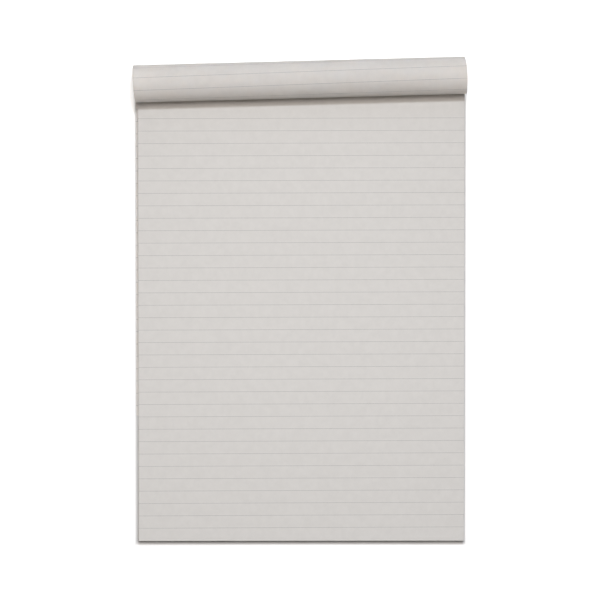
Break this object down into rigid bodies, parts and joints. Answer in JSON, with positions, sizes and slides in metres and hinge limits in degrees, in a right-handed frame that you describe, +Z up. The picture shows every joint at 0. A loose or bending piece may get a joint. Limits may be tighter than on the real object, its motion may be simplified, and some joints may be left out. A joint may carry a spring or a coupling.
{
  "type": "legal pad",
  "caption": "Ruled writing pad with a chipboard back, gummed along its head, its top sheet turned back over the head in a loose roll and tucked underneath.",
  "frame": {"origin": "centre of the pad's outline, on the surface that the pad lies on", "axes": "+X across the page to the right, +Y along the page towards the head, +Z up out of the page"},
  "size_m": [0.2122, 0.311, 0.0291],
  "materials": {
    "paper": "uncoated matt",
    "chipboard": "raw matt",
    "padding_gum": "dried, slightly glossy",
    "feint_ink": "printed matt"
  },
  "bodies": {
    "root": {"back_board": "chipboard", "sheet_block": "paper", "turned_sheet": "paper", "gum_binding": "padding_gum", "page_ruling": "feint_ink", "turned_ruling": "feint_ink"}
  },
  "joints": []
}
